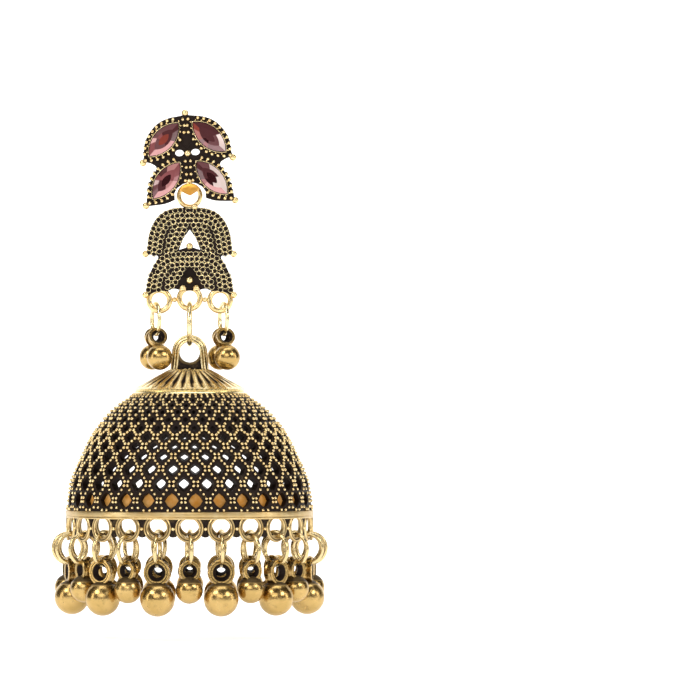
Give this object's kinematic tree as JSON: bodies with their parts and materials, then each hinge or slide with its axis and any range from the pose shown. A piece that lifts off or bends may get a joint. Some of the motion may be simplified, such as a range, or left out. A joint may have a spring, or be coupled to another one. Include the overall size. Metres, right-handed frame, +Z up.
{
  "type": "jhumka earring",
  "caption": "Antique gold drop earring with rose marquise stones, a granulated plaque, a pierced bell and a fringe of beads.",
  "frame": {"origin": "on the ear post's axis, at the back face of the stud, where the earring is pinned on", "axes": "+Z up, the front faces -Y, +X to the right as seen from the front"},
  "size_m": [0.0438, 0.0438, 0.0806],
  "materials": {
    "cast_gold": "antique cast gold tone",
    "rose_crystal": "foiled dusty rose crystal",
    "pin_gold": "polished gold tone",
    "link_gold": "polished gold tone",
    "bead_gold": "polished gold tone"
  },
  "bodies": {
    "stud": {"top_plaque": "cast_gold", "stone_upper_left": "rose_crystal", "stone_upper_right": "rose_crystal", "stone_lower_left": "rose_crystal", "stone_lower_right": "rose_crystal", "ear_post": "pin_gold"},
    "plaque": {"middle_plaque": "cast_gold", "side_link_left": "link_gold", "side_link_right": "link_gold", "side_bead_left_front": "bead_gold", "side_bead_left_back": "bead_gold", "side_bead_right_front": "bead_gold", "side_bead_right_back": "bead_gold"},
    "link": {"centre_link": "link_gold"},
    "bell": {"dome": "cast_gold", "drop_01": "bead_gold", "drop_02": "bead_gold", "drop_03": "bead_gold", "drop_04": "bead_gold", "drop_05": "bead_gold", "drop_06": "bead_gold", "drop_07": "bead_gold", "drop_08": "bead_gold", "drop_09": "bead_gold", "drop_10": "bead_gold", "drop_11": "bead_gold", "drop_12": "bead_gold", "drop_13": "bead_gold", "drop_14": "bead_gold", "drop_15": "bead_gold", "drop_16": "bead_gold", "drop_17": "bead_gold", "drop_18": "bead_gold", "drop_19": "bead_gold", "drop_20": "bead_gold", "drop_21": "bead_gold", "drop_22": "bead_gold", "drop_23": "bead_gold", "drop_24": "bead_gold"}
  },
  "joints": [
    {"name": "plaque_swing", "type": "hinge", "parent": "stud", "child": "plaque", "pos_m": [0.00044, 0.0007, -0.00692], "axis": [1, 0, 0], "range_deg": [-50, 60]},
    {"name": "link_swing", "type": "hinge", "parent": "plaque", "child": "link", "pos_m": [0.00044, 0.0007, -0.0267], "axis": [1, 0, 0], "range_deg": [-6, 6]},
    {"name": "bell_sway", "type": "hinge", "parent": "link", "child": "bell", "pos_m": [0.00044, 0.0007, -0.03247], "axis": [0, 1, 0], "range_deg": [-4, 4]}
  ]
}
